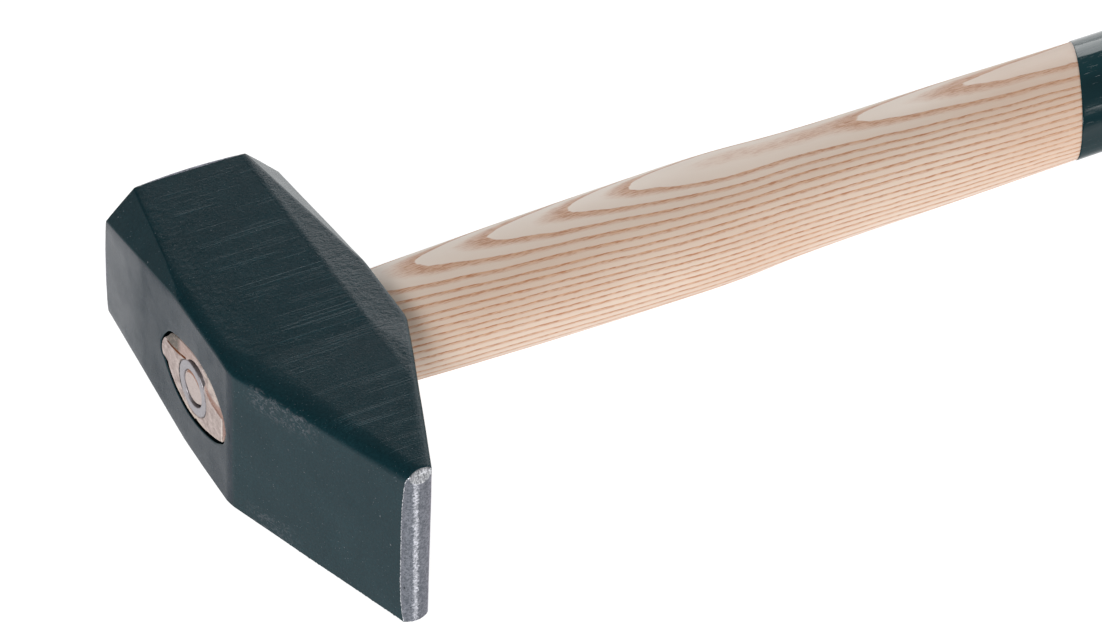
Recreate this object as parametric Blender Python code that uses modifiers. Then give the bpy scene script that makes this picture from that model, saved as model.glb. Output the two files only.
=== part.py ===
"""Cross-pein sledge hammer: forged head, ash handle, steel ring wedge and dipped grip coating.

The hammer lies on one cheek. +X runs along the handle from the head to the butt, +Y points to the
striking face, -Y to the pein and +Z up. The origin is on the lower cheek, under the middle of the
eye and halfway between the eye face and the handle side of the head. Lengths are in metres.
"""
import math

import bmesh
import bpy
from mathutils import Vector

# Head, a single forging
HEAD_DEPTH = 0.0602            # along the handle, from the eye face to the handle side
HEAD_WIDTH = 0.0571            # between the two ground cheeks
FACE_TO_CREASE = 0.0892        # straight body, from the striking face to the start of the pein
CREASE_TO_NOSE = 0.0668        # tapering pein, from the crease to the edges of its nose
FACE_TO_EYE = 0.0641           # from the striking face to the middle of the eye
NOSE_THICKNESS = 0.0084
NOSE_CROWN = 0.0010            # how far the nose bulges between its two edges
CREASE_RADIUS = 0.0029
NOSE_FLARE = 0.0019            # how far each cheek spreads outward between crease and nose
NOSE_FACET_LENGTH = 0.0046     # ground facet on the upper end of the nose
NOSE_FACET_ANGLE = 24.0        # degrees from the nose
FACE_CROWN_RADIUS = 0.165      # the striking face is a shallow dome
FACE_CORNER_RADIUS = 0.0345    # distance of its corners from the middle of the dome
EYE_SIDE_CHAMFER = (0.0101, 0.064)     # leg at the striking face, and where it runs out
GRIP_SIDE_CHAMFER = (0.0117, 0.076)
EYE_SIDE_DRAFT = (0.0060, 0.0015)  # how wide the cheek's edge falls away, and how far
GRIP_SIDE_DRAFT = (0.0120, 0.0016)
PEIN_DRAFT_WIDTH = 0.0095      # same fall along the pein's edges, at the crease
PEIN_DRAFT_NARROWING = 0.6     # share of that width lost at the nose
EDGE_BREAK = 0.0005            # small chamfer left on the forged edges

# Eye and handle: half axes along Y and Z, and the power of the oval (2 is an ellipse)
EYE_MOUTH = (0.02270, 0.01340, 1.80)
EYE_WAIST = (0.02160, 0.01365, 1.90)
EYE_ENTRY = (0.02205, 0.01580, 2.00)
EYE_WAIST_AT = 0.45            # place of the waist, as a share of the head's depth
HANDLE_LENGTH = 0.600
HANDLE_OVAL = 2.0
HANDLE_LEAN = 0.0078           # the handle leans a little towards the striking face
LEAN_START = 0.085             # from the eye face
# Distance from the eye face, half width along Y, half height along Z
HANDLE_SHAPE = (
    (0.0602, 0.02150, 0.01512),
    (0.0855, 0.02243, 0.01581),
    (0.1195, 0.02337, 0.01671),
    (0.1710, 0.02402, 0.01765),
    (0.1870, 0.02382, 0.01760),
    (0.2110, 0.02238, 0.01681),
    (0.2340, 0.02178, 0.01651),
    (0.2690, 0.02168, 0.01646),
    (0.3200, 0.02104, 0.01611),
    (0.4000, 0.02084, 0.01601),
    (0.4800, 0.02120, 0.01626),
    (0.5500, 0.02280, 0.01740),
    (0.5850, 0.02330, 0.01780),
)
BUTT_ROUNDING = 0.009
FIT_GAP = 0.0003               # clearance left between neighbouring solids

# Ring wedge, driven into the end grain inside the eye
RING_OUTER_RADIUS = 0.0094
RING_INNER_RADIUS = 0.0063
RING_TIP_OUTER_RADIUS = 0.0085
RING_TIP_INNER_RADIUS = 0.0073
RING_DEPTH = 0.028
RING_Y_OFFSET = 0.0009         # the ring sits a little off the middle of the eye
RING_Z_OFFSET = -0.0007

# Dipped coating over the grip end of the handle
COATING_START = 0.3199         # from the eye face, on the handle's axis
COATING_SLANT = 0.485          # its edge lies farther out on the striking face's side
COATING_THICKNESS = 0.0006
COATING_STEP = 0.0003          # how far its edge stands proud of the bare wood

OVAL_SIDES = 36
ROUND_SIDES = 36

EYE_FACE_X = -HEAD_DEPTH / 2
GRIP_FACE_X = HEAD_DEPTH / 2
STRIKING_FACE_Y = FACE_TO_EYE
CREASE_Y = STRIKING_FACE_Y - FACE_TO_CREASE
NOSE_Y = CREASE_Y - CREASE_TO_NOSE
MID_Z = HEAD_WIDTH / 2
DOME_RISE = FACE_CROWN_RADIUS - math.sqrt(FACE_CROWN_RADIUS**2 - FACE_CORNER_RADIUS**2)
DOME_TOP_Y = STRIKING_FACE_Y + DOME_RISE


def clear_scene():
    for item in list(bpy.data.objects):
        bpy.data.objects.remove(item, do_unlink=True)


def new_collection(name):
    collection = bpy.data.collections.new(name)
    bpy.context.scene.collection.children.link(collection)
    return collection


def new_material(name, colour, roughness, metallic):
    material = bpy.data.materials.new(name)
    material.use_nodes = True
    shader = material.node_tree.nodes["Principled BSDF"]
    shader.inputs["Base Color"].default_value = (*colour, 1.0)
    shader.inputs["Roughness"].default_value = roughness
    shader.inputs["Metallic"].default_value = metallic
    return material


def new_object(name, mesh, collection, material=None):
    item = bpy.data.objects.new(name, mesh)
    collection.objects.link(item)
    if material:
        mesh.materials.append(material)
    return item


def hide_tool(item):
    item.hide_render = True
    item.display_type = "WIRE"


def evaluated_mesh(item):
    """The item's mesh with its modifiers applied, as a new mesh."""
    depsgraph = bpy.context.evaluated_depsgraph_get()
    return bpy.data.meshes.new_from_object(item.evaluated_get(depsgraph))


def cut(item, tool, operation):
    modifier = item.modifiers.new(tool.name, "BOOLEAN")
    modifier.operation = operation
    modifier.solver = "EXACT"
    modifier.object = tool


def shade(item, angle_degrees):
    item.data.shade_smooth()
    item.data.set_sharp_from_angle(angle=math.radians(angle_degrees))


def arc_points(centre, radius, start, end, steps):
    """Points on an arc from the start angle to the end angle, both in radians."""
    points = []
    for step in range(steps + 1):
        angle = start + (end - start) * step / steps
        points.append((centre[0] + radius * math.cos(angle), centre[1] + radius * math.sin(angle)))
    return points


def oval_ring(x, half_y, half_z, power, slant=0.0):
    """A closed oval round the handle's axis at x, leaning along x by the slant times its y."""
    ring = []
    for side in range(OVAL_SIDES):
        angle = math.tau * side / OVAL_SIDES
        cosine = math.cos(angle)
        sine = math.sin(angle)
        y = half_y * math.copysign(abs(cosine) ** (2 / power), cosine)
        z = half_z * math.copysign(abs(sine) ** (2 / power), sine)
        along = x + slant * y
        lean = HANDLE_LEAN * max(along - EYE_FACE_X - LEAN_START, 0.0)
        ring.append(Vector((along, y + lean, MID_Z + z)))
    return ring


def loft(name, rings, cap_start, cap_end):
    """A skin through rings of equally many points, whose faces point outward for rising x."""
    bm = bmesh.new()
    loops = [[bm.verts.new(point) for point in ring] for ring in rings]
    count = len(loops[0])
    for first, second in zip(loops, loops[1:]):
        for side in range(count):
            following = (side + 1) % count
            bm.faces.new((first[side], first[following], second[following], second[side]))
    if cap_start:
        bm.faces.new(list(reversed(loops[0])))
    if cap_end:
        bm.faces.new(loops[-1])
    bmesh.ops.recalc_face_normals(bm, faces=bm.faces[:])
    mesh = bpy.data.meshes.new(name)
    bm.to_mesh(mesh)
    bm.free()
    return mesh


def smooth_value(stations, x, column):
    """Smooth curve through a table of stations, whose first column is x."""
    last = len(stations) - 1
    index = 0
    while index < last - 1 and x > stations[index + 1][0]:
        index += 1
    x_low, x_high = stations[index][0], stations[index + 1][0]
    low, high = stations[index][column], stations[index + 1][column]
    before, after = stations[max(index - 1, 0)], stations[min(index + 2, last)]
    span = x_high - x_low
    slope_low = (high - before[column]) / (x_high - before[0]) * span
    slope_high = (after[column] - low) / (after[0] - x_low) * span
    t = (x - x_low) / span
    return ((2 * t**3 - 3 * t**2 + 1) * low + (t**3 - 2 * t**2 + t) * slope_low
            + (3 * t**2 - 2 * t**3) * high + (t**3 - t**2) * slope_high)


def crease_arc(side):
    """Rounding between the straight body and the pein, on the side given as -1 or 1 along X."""
    half_depth = HEAD_DEPTH / 2
    half_nose = NOSE_THICKNESS / 2
    taper = math.atan2(half_depth - half_nose, CREASE_TO_NOSE)
    setback = CREASE_RADIUS * math.tan(taper / 2)
    centre = (half_depth - CREASE_RADIUS, CREASE_Y + setback)
    points = arc_points(centre, CREASE_RADIUS, 0.0, -taper, 5)
    return [(side * x, y) for x, y in points]


def head_outline():
    """The head seen from the cheek, as (x, y) points in order round the outline."""
    half_depth = HEAD_DEPTH / 2
    half_nose = NOSE_THICKNESS / 2
    nose_radius = (half_nose**2 + NOSE_CROWN**2) / (2 * NOSE_CROWN)
    half_angle = math.asin(half_nose / nose_radius)
    nose_centre = (0.0, NOSE_Y - NOSE_CROWN + nose_radius)
    down = -math.pi / 2
    nose = arc_points(nose_centre, nose_radius, down + half_angle, down - half_angle, 8)
    outline = [(half_depth, DOME_TOP_Y)]
    outline += crease_arc(1)
    outline += nose
    outline += reversed(crease_arc(-1))
    outline.append((-half_depth, DOME_TOP_Y))
    return outline


def extruded_outline(name, points, thickness, collection):
    """A flat outline in the XY plane, as a solid from z = 0 to z = thickness."""
    curve = bpy.data.curves.new(name + "_outline", "CURVE")
    curve.dimensions = "2D"
    curve.fill_mode = "BOTH"
    curve.extrude = thickness / 2
    spline = curve.splines.new("POLY")
    spline.points.add(len(points) - 1)
    for point, (x, y) in zip(spline.points, points):
        point.co = (x, y, 0.0, 1.0)
    spline.use_cyclic_u = True
    guide = bpy.data.objects.new(name + "_outline", curve)
    collection.objects.link(guide)
    guide.location.z = thickness / 2
    bpy.context.view_layer.update()
    mesh = evaluated_mesh(guide)
    mesh.transform(guide.matrix_world)
    bpy.data.objects.remove(guide, do_unlink=True)
    return mesh


def slice_off(bm, point, normal):
    """Removes what lies on the normal's side of a plane, and closes the cut."""
    geometry = bm.verts[:] + bm.edges[:] + bm.faces[:]
    result = bmesh.ops.bisect_plane(bm, geom=geometry, dist=1e-7, plane_co=point,
                                    plane_no=normal, clear_outer=True)
    rim = [item for item in result["geom_cut"] if isinstance(item, bmesh.types.BMEdge)]
    bmesh.ops.holes_fill(bm, edges=rim)


def plane_through(a, b, c, outside):
    """A plane through three points, with its normal turned to the side of the outside point."""
    normal = (b - a).cross(c - a).normalized()
    if normal.dot(outside - a) < 0:
        normal.negate()
    return a, normal


def corner_planes():
    """The four long corner chamfers, which run out towards the pein."""
    planes = []
    for x_side, (leg, length) in ((-1, EYE_SIDE_CHAMFER), (1, GRIP_SIDE_CHAMFER)):
        for z_side in (-1, 1):
            corner = Vector((x_side * HEAD_DEPTH / 2, STRIKING_FACE_Y, MID_Z + z_side * MID_Z))
            on_cheek = corner - Vector((x_side * leg, 0, 0))
            on_side = corner - Vector((0, 0, z_side * leg))
            end = corner - Vector((0, length, 0))
            planes.append(plane_through(on_cheek, on_side, end, corner))
    return planes


def draft_planes():
    """Planes that let the cheeks fall away beside their flat band, on the body and on the pein."""
    planes = []
    half_depth = HEAD_DEPTH / 2
    taper = math.atan2(half_depth - NOSE_THICKNESS / 2, CREASE_TO_NOSE)
    for x_side, (width, fall) in ((-1, EYE_SIDE_DRAFT), (1, GRIP_SIDE_DRAFT)):
        for z_side in (-1, 1):
            cheek_z = MID_Z + z_side * MID_Z
            outside = Vector((x_side * half_depth, 0, cheek_z))
            a = Vector((x_side * (half_depth - width), STRIKING_FACE_Y, cheek_z))
            b = Vector((x_side * (half_depth - width), CREASE_Y, cheek_z))
            c = Vector((x_side * half_depth, CREASE_Y, cheek_z - z_side * fall))
            planes.append(plane_through(a, b, c, outside))
            along_pein = Vector((-x_side * math.sin(taper), -math.cos(taper), 0))
            across = Vector((-x_side * math.cos(taper), math.sin(taper), 0))
            crease = Vector((x_side * half_depth, CREASE_Y, cheek_z))
            d = crease + across * PEIN_DRAFT_WIDTH
            nose_width = PEIN_DRAFT_WIDTH * (1 - PEIN_DRAFT_NARROWING)
            e = crease + along_pein * CREASE_TO_NOSE + across * nose_width
            planes.append(plane_through(d, e, c, crease))
    return planes


def flare_pein(bm):
    """Spreads the pein, so that it is widest at its nose."""
    geometry = bm.verts[:] + bm.edges[:] + bm.faces[:]
    bmesh.ops.bisect_plane(bm, geom=geometry, dist=1e-7, plane_co=(0, CREASE_Y, 0),
                           plane_no=(0, 1, 0))
    for vertex in bm.verts:
        share = (CREASE_Y - vertex.co.y) / CREASE_TO_NOSE
        if share > 0:
            spread = 1 + share * NOSE_FLARE / MID_Z
            vertex.co.z = MID_Z + (vertex.co.z - MID_Z) * spread


def grind_nose_end(bm):
    """The shallow facet on the upper end of the nose."""
    angle = math.radians(NOSE_FACET_ANGLE)
    start = HEAD_WIDTH + NOSE_FLARE - NOSE_FACET_LENGTH
    slice_off(bm, Vector((0, NOSE_Y - NOSE_CROWN, start)),
              Vector((0, -math.cos(angle), math.sin(angle))))


def turned_solid(name, profile, collection, sides):
    """A profile of (radius, height) points, from the top of its axis to the bottom, turned."""
    mesh = bpy.data.meshes.new(name)
    vertices = [(radius, 0.0, height) for radius, height in profile]
    edges = [(index, index + 1) for index in range(len(profile) - 1)]
    mesh.from_pydata(vertices, edges, [])
    item = new_object(name, mesh, collection)
    screw = item.modifiers.new("Turn", "SCREW")
    screw.steps = sides
    screw.render_steps = sides
    screw.use_merge_vertices = True
    screw.merge_threshold = 0.00001
    return item


def make_face_dome(tools):
    """A solid that keeps the whole head, and ends in the dome of the striking face."""
    reach = 0.050
    rings = 6
    profile = []
    for ring in range(rings + 1):
        radius = reach * ring / rings
        fall = FACE_CROWN_RADIUS - math.sqrt(FACE_CROWN_RADIUS**2 - radius**2)
        profile.append((radius, -fall))
    body_end = -(FACE_TO_CREASE + CREASE_TO_NOSE + 0.02)   # well past the nose
    profile.append((reach, body_end))
    profile.append((0.0, body_end))
    dome = turned_solid("striking_face_dome", profile, tools, ROUND_SIDES)
    dome.rotation_euler.x = -math.pi / 2
    dome.location = (0.0, DOME_TOP_Y, MID_Z)
    hide_tool(dome)
    return dome


def eye_section(share):
    """Half axes and power of the eye at a share of the head's depth, from the eye face."""
    if share < EYE_WAIST_AT:
        outer = EYE_MOUTH
        t = 1 - share / EYE_WAIST_AT
    else:
        outer = EYE_ENTRY
        t = (share - EYE_WAIST_AT) / (1 - EYE_WAIST_AT)
    return [waist + (end - waist) * t * t for waist, end in zip(EYE_WAIST, outer)]


def make_eye_cutter(tools):
    overshoot = 0.002
    rings = [oval_ring(EYE_FACE_X - overshoot, *EYE_MOUTH)]
    steps = 8
    for step in range(steps + 1):
        share = step / steps
        rings.append(oval_ring(EYE_FACE_X + share * HEAD_DEPTH, *eye_section(share)))
    rings.append(oval_ring(GRIP_FACE_X + overshoot, *EYE_ENTRY))
    cutter = new_object("eye_cutter", loft("eye_cutter", rings, True, True), tools)
    hide_tool(cutter)
    return cutter


def make_head(parts, tools, material):
    mesh = extruded_outline("hammer_head", head_outline(), HEAD_WIDTH, parts)
    bm = bmesh.new()
    bm.from_mesh(mesh)
    bmesh.ops.remove_doubles(bm, verts=bm.verts[:], dist=1e-6)
    bmesh.ops.dissolve_limit(bm, angle_limit=math.radians(0.5), verts=bm.verts[:],
                             edges=bm.edges[:])
    for point, normal in draft_planes() + corner_planes():
        slice_off(bm, point, normal)
    flare_pein(bm)
    grind_nose_end(bm)
    bmesh.ops.triangulate(bm, faces=[face for face in bm.faces if len(face.verts) > 4])
    bmesh.ops.recalc_face_normals(bm, faces=bm.faces[:])
    bm.to_mesh(mesh)
    bm.free()
    head = new_object("hammer_head", mesh, parts, material)
    cut(head, make_face_dome(tools), "INTERSECT")
    edge_break = head.modifiers.new("Edge break", "BEVEL")
    edge_break.width = EDGE_BREAK
    edge_break.segments = 1
    edge_break.limit_method = "ANGLE"
    edge_break.angle_limit = math.radians(28)
    cut(head, make_eye_cutter(tools), "DIFFERENCE")
    shade(head, 20)
    return head


def handle_rings(start, end, steps, grow, start_slant, end_slant):
    """Oval sections of the handle between two distances from the eye face."""
    rings = []
    for step in range(steps + 1):
        share = step / steps
        distance = start + (end - start) * share
        slant = start_slant + (end_slant - start_slant) * share
        half_y = smooth_value(HANDLE_SHAPE, distance, 1) + grow
        half_z = smooth_value(HANDLE_SHAPE, distance, 2) + grow
        rings.append(oval_ring(EYE_FACE_X + distance, half_y, half_z, HANDLE_OVAL, slant))
    return rings


def butt_rings(grow):
    """The rounded end of the handle, after its last station."""
    end = HANDLE_LENGTH + grow
    start = HANDLE_SHAPE[-1][0]
    half_y = HANDLE_SHAPE[-1][1] + grow
    half_z = HANDLE_SHAPE[-1][2] + grow
    rings = []
    steps = 6
    straight = end - BUTT_ROUNDING - start
    for step in range(steps + 1):
        angle = math.pi / 2 * step / steps
        shrink = BUTT_ROUNDING * (1 - math.cos(angle)) * 0.9
        x = EYE_FACE_X + start + straight + BUTT_ROUNDING * math.sin(angle)
        rings.append(oval_ring(x, half_y - shrink, half_z - shrink, HANDLE_OVAL))
    return rings


def make_ring_groove(tools):
    """A turned cutter a little larger than the ring wedge, open at the eye face."""
    over = 0.001
    tip = RING_DEPTH + FIT_GAP
    profile = [
        (RING_INNER_RADIUS - FIT_GAP, over),
        (RING_OUTER_RADIUS + FIT_GAP, over),
        (RING_OUTER_RADIUS + FIT_GAP, 0.0),
        (RING_TIP_OUTER_RADIUS + FIT_GAP, -tip),
        (RING_TIP_INNER_RADIUS - FIT_GAP, -tip),
        (RING_INNER_RADIUS - FIT_GAP, 0.0),
        (RING_INNER_RADIUS - FIT_GAP, over),
    ]
    groove = turned_solid("ring_groove", profile, tools, ROUND_SIDES)
    place_on_eye_face(groove)
    hide_tool(groove)
    return groove


def place_on_eye_face(item):
    """Turns a piece's own +Z out of the eye face, where the ring wedge is driven in."""
    item.rotation_euler.y = -math.pi / 2
    item.location = (EYE_FACE_X, RING_Y_OFFSET, MID_Z + RING_Z_OFFSET)


def make_handle(parts, tools, material):
    rings = []
    steps = 8
    for step in range(steps):
        share = step / steps
        half_y, half_z, power = eye_section(share)
        x = EYE_FACE_X + share * HEAD_DEPTH
        rings.append(oval_ring(x, half_y - FIT_GAP, half_z - FIT_GAP, power))
    under_coating = COATING_STEP - COATING_THICKNESS - FIT_GAP
    shoulder = COATING_START - FIT_GAP
    rings += handle_rings(HEAD_DEPTH, shoulder, 20, 0.0, 0.0, COATING_SLANT)
    rings += handle_rings(shoulder, HANDLE_SHAPE[-1][0], 9, under_coating, COATING_SLANT, 0.0)
    rings += butt_rings(under_coating)
    handle = new_object("handle", loft("handle", rings, True, True), parts, material)
    cut(handle, make_ring_groove(tools), "DIFFERENCE")
    shade(handle, 30)
    return handle


def make_ring_wedge(parts, material):
    profile = [
        (RING_INNER_RADIUS, 0.0),
        (RING_OUTER_RADIUS, 0.0),
        (RING_TIP_OUTER_RADIUS, -RING_DEPTH),
        (RING_TIP_INNER_RADIUS, -RING_DEPTH),
        (RING_INNER_RADIUS, 0.0),
    ]
    ring = turned_solid("ring_wedge", profile, parts, ROUND_SIDES)
    ring.data.materials.append(material)
    place_on_eye_face(ring)
    shade(ring, 30)
    return ring


def make_grip_coating(parts, material):
    rings = handle_rings(COATING_START, HANDLE_SHAPE[-1][0], 9, COATING_STEP, COATING_SLANT, 0.0)
    rings += butt_rings(COATING_STEP)
    coating = new_object("grip_coating", loft("grip_coating", rings, False, True), parts, material)
    shell = coating.modifiers.new("Film", "SOLIDIFY")
    shell.thickness = COATING_THICKNESS
    shell.offset = -1.0
    shell.use_even_offset = True
    shade(coating, 30)
    return coating


def main():
    clear_scene()
    parts = new_collection("cross_pein_sledge_hammer")
    tools = new_collection("cutters")
    paint = new_material("dark_green_paint", (0.016, 0.033, 0.037), 0.45, 0.0)
    wood = new_material("ash_wood", (0.66, 0.50, 0.37), 0.50, 0.0)
    steel = new_material("ring_steel", (0.42, 0.42, 0.44), 0.40, 1.0)
    gloss = new_material("gloss_green_black", (0.010, 0.022, 0.024), 0.15, 0.0)
    make_head(parts, tools, paint)
    make_handle(parts, tools, wood)
    make_ring_wedge(parts, steel)
    make_grip_coating(parts, gloss)


main()
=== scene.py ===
"""Looks of the cross-pein sledge hammer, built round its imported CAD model.

The frame is the CAD frame, in metres: +X runs along the handle from the head to the butt, +Y points
to the striking face, -Y to the pein and +Z up. Each piece has its vertices in that frame.
"""
import math

import bpy
import numpy as np
from mathutils import Matrix, Vector


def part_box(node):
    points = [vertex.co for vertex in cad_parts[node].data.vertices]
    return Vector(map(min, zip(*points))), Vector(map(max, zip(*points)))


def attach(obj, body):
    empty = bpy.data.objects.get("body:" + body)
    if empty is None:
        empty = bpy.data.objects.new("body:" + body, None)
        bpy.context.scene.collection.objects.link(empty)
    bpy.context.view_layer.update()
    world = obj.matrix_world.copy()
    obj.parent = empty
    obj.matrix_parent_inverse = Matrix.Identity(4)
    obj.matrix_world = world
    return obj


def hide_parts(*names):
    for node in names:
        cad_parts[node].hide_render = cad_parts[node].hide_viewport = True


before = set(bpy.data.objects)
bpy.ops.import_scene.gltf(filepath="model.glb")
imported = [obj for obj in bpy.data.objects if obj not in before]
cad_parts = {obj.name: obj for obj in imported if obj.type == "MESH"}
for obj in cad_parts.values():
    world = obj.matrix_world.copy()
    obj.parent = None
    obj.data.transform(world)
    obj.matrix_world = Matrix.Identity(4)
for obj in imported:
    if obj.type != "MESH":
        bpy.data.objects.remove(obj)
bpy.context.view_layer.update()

MM = 0.001

# Head, as in the CAD model
HEAD_LOW, HEAD_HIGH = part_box("hammer_head")
HALF_DEPTH = HEAD_HIGH.x
HEAD_WIDTH = 57.1 * MM
MID_Z = HEAD_WIDTH / 2
STRIKING_FACE_Y = 64.1 * MM
CREASE_Y = -25.1 * MM
NOSE_Y = -91.9 * MM
HALF_NOSE = 4.2 * MM
NOSE_CROWN = 1.0 * MM
NOSE_FLARE = 1.9 * MM                           # how far each cheek stands out at the nose
NOSE_FACET_LENGTH = 4.6 * MM
NOSE_FACET_ANGLE = math.radians(24)
FACET_START_Z = HEAD_WIDTH + NOSE_FLARE - NOSE_FACET_LENGTH
FACE_CROWN_RADIUS = 165 * MM
DOME_TOP_Y = HEAD_HIGH.y
EYE_SIDE_CHAMFER = (10.1 * MM, 64 * MM)         # leg at the striking face, length
GRIP_SIDE_CHAMFER = (11.7 * MM, 76 * MM)        # leg at the striking face, length
GRIP_SIDE_DRAFT = (12.0 * MM, 1.6 * MM)         # width and fall of the strip along the cheek
TAPER = math.atan2(HALF_DEPTH - HALF_NOSE, CREASE_Y - NOSE_Y)

# Roundings of the painted head's edges, and the fineness of its mesh
CREASE_EDGE = 0.9 * MM
END_EDGE = 0.35 * MM
EYE_EDGE = 0.25 * MM
DRAFT_EDGE = 0.06 * MM
FACET_EDGE = 0.05 * MM
GRIP_CHAMFER_EDGE = 0.30 * MM
HEAD_VOXEL = 0.45 * MM

# Eye, handle, ring wedge and coating, as in the CAD model
EYE_WAIST = (21.60 * MM, 13.65 * MM, 1.90)      # half axes along y and z, power of the oval
EYE_ENTRY = (22.05 * MM, 15.80 * MM, 2.00)      # the same where the handle enters
EYE_WAIST_AT = 0.45                             # share of the head's depth, from the eye face
EYE_GAP = 0.3 * MM
HANDLE_LENGTH = 600 * MM
HANDLE_LEAN = 0.0078
LEAN_START = 85 * MM
HANDLE_SIDES = 144
HANDLE_SHAPE = (                                # mm from the eye face, half axes along y and z
    (60.2, 21.50, 15.12),
    (85.5, 22.43, 15.81),
    (119.5, 23.37, 16.71),
    (171.0, 24.02, 17.65),
    (187.0, 23.82, 17.60),
    (211.0, 22.38, 16.81),
    (234.0, 21.78, 16.51),
    (269.0, 21.68, 16.46),
    (320.0, 21.04, 16.11),
    (400.0, 20.84, 16.01),
    (480.0, 21.20, 16.26),
    (550.0, 22.80, 17.40),
    (585.0, 23.30, 17.80),
)
BUTT_ROUNDING = 9 * MM
RING_OUTER_RADIUS = 9.4 * MM
RING_INNER_RADIUS = 6.3 * MM
RING_DEPTH = 28 * MM
RING_Y = 0.9 * MM
RING_Z = MID_Z - 0.7 * MM
COATING_START = 319.9 * MM
COATING_SLANT = 0.485                           # how far the edge leans along x, per y
COATING_STEP = 0.3 * MM                         # how far the film stands out from the wood

# Outlines of the eye's mouth and of the wood in it, as (y, z) points in mm, anticlockwise from the
# pein end. The wood stands clear of the steel along its lower side, up to a notch near the tip
EYE_MOUTH = (
    (-22.0, 28.6), (-21.7, 25.6), (-20.6, 22.7), (-18.6, 21.0), (-15.0, 18.6), (-10.0, 16.7),
    (-5.0, 15.5), (0.0, 14.8), (5.0, 14.9), (8.2, 15.5), (12.2, 16.9), (16.0, 19.2), (19.0, 21.8),
    (20.8, 24.0), (22.6, 24.8), (23.6, 26.2), (23.5, 29.0), (22.7, 31.4), (21.4, 33.6), (20.2, 35.2),
    (18.2, 37.5), (15.8, 39.2), (11.8, 40.6), (7.5, 41.7), (3.5, 42.5), (0.0, 42.8), (-4.0, 42.7),
    (-8.0, 42.0), (-12.0, 40.7), (-15.0, 39.1), (-17.6, 36.9), (-19.6, 35.0), (-21.1, 32.8),
)
WOOD_END = (
    (-21.9, 28.6), (-21.6, 26.0), (-21.0, 24.0), (-20.1, 22.7), (-18.4, 21.7), (-16.0, 20.5),
    (-13.0, 19.4), (-10.0, 18.4), (-6.6, 17.6), (-3.0, 17.2), (-1.5, 17.4), (-1.0, 16.8), (0.2, 16.5),
    (4.0, 16.6), (7.0, 17.1), (10.0, 18.1), (12.6, 19.0), (15.0, 20.5), (17.0, 22.0), (18.4, 23.6),
    (19.3, 25.0), (20.9, 25.2), (22.7, 25.2), (23.4, 26.6), (23.3, 29.0), (22.4, 31.2), (21.0, 33.2),
    (19.4, 34.8), (18.0, 36.4), (16.8, 38.0), (14.4, 39.5), (11.6, 40.5), (7.4, 41.5), (3.5, 42.3),
    (0.0, 42.6), (-4.0, 42.5), (-8.0, 41.8), (-12.0, 40.5), (-15.0, 38.9), (-17.6, 36.7),
    (-19.5, 34.8), (-21.0, 32.6),
)
END_GRAIN_SINK = 0.08 * MM
END_WALL = 4 * MM                               # how deep the end grain's side walls go

# Features of the end grain, as (y, z) points in mm: a crack, and a ledge between two lines
CRACK = ((5.6, 36.4), (7.0, 35.9), (10.0, 34.9), (13.0, 34.1), (16.0, 33.5), (19.6, 33.3))
LEDGE_LOW = ((-21.6, 32.2), (-18.0, 31.9), (-13.0, 32.1), (-10.0, 33.1), (-8.0, 34.4))
LEDGE_HIGH = ((-21.6, 34.6), (-19.0, 35.7), (-13.0, 35.4), (-10.5, 36.0), (-8.0, 37.2))

# The growth rings lie across this direction: its x part tilts them along the handle. The dark early
# wood of each ring ends at one of the lines, in mm along that direction from GRAIN_OFFSET
GRAIN_DIRECTION = (0.036, 0.254, 0.967)
GRAIN_OFFSET = 28.7
RING_LINES = (
    -28.6, -26.6, -24.8, -22.9, -20.7, -18.8, -17.0, -14.9, -12.8, -10.8, -8.6, -6.4, -4.1, -1.8,
    0.4, 2.2, 3.9, 5.8, 7.6, 9.3, 11.4, 13.0, 15.0, 16.9, 18.6, 20.1, 21.5, 23.5, 25.3, 27.2, 29.0,
    31.0, 33.1,
)


# ---------------------------------------------------------------- small tools

def smoothstep(value, low, high):
    t = np.clip((value - low) / (high - low), 0.0, 1.0)
    return t * t * (3 - 2 * t)


def lattice_value(cell, seed):
    """A repeatable number from -1 to 1 for each whole-number cell."""
    mixed = (cell[..., 0] * 374761393 + cell[..., 1] * 668265263
             + cell[..., 2] * 2147483647 + seed * 144665) & 0xFFFFFFFF
    mixed = ((mixed ^ (mixed >> 13)) * 1274126177) & 0xFFFFFFFF
    mixed = mixed ^ (mixed >> 16)
    return mixed / 2147483648.0 - 1.0


def noise(points, size, seed):
    """Smooth noise from -1 to 1, with features of the given size or sizes along x, y and z."""
    scaled = points / np.asarray(size)
    cell = np.floor(scaled).astype(np.int64)
    part = scaled - cell
    part = part * part * part * (part * (part * 6 - 15) + 10)
    total = np.zeros(len(points))
    for corner in np.ndindex(2, 2, 2):
        corner = np.array(corner)
        weight = np.prod(np.where(corner, part, 1 - part), axis=1)
        total += weight * lattice_value(cell + corner, seed)
    return total


def mesh_object(name, points, faces):
    mesh = bpy.data.meshes.new(name)
    mesh.from_pydata([tuple(point) for point in points], [], [tuple(face) for face in faces])
    mesh.validate()
    mesh.shade_smooth()
    item = bpy.data.objects.new(name, mesh)
    bpy.context.scene.collection.objects.link(item)
    return item


def grid_faces(rows, columns):
    """Faces of rows of points, each row closed on itself."""
    row, column = np.meshgrid(np.arange(rows - 1), np.arange(columns), indexing="ij")
    following = (column + 1) % columns
    a = row * columns + column
    b = row * columns + following
    return np.stack([a, b, b + columns, a + columns], axis=-1).reshape(-1, 4).tolist()


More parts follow.
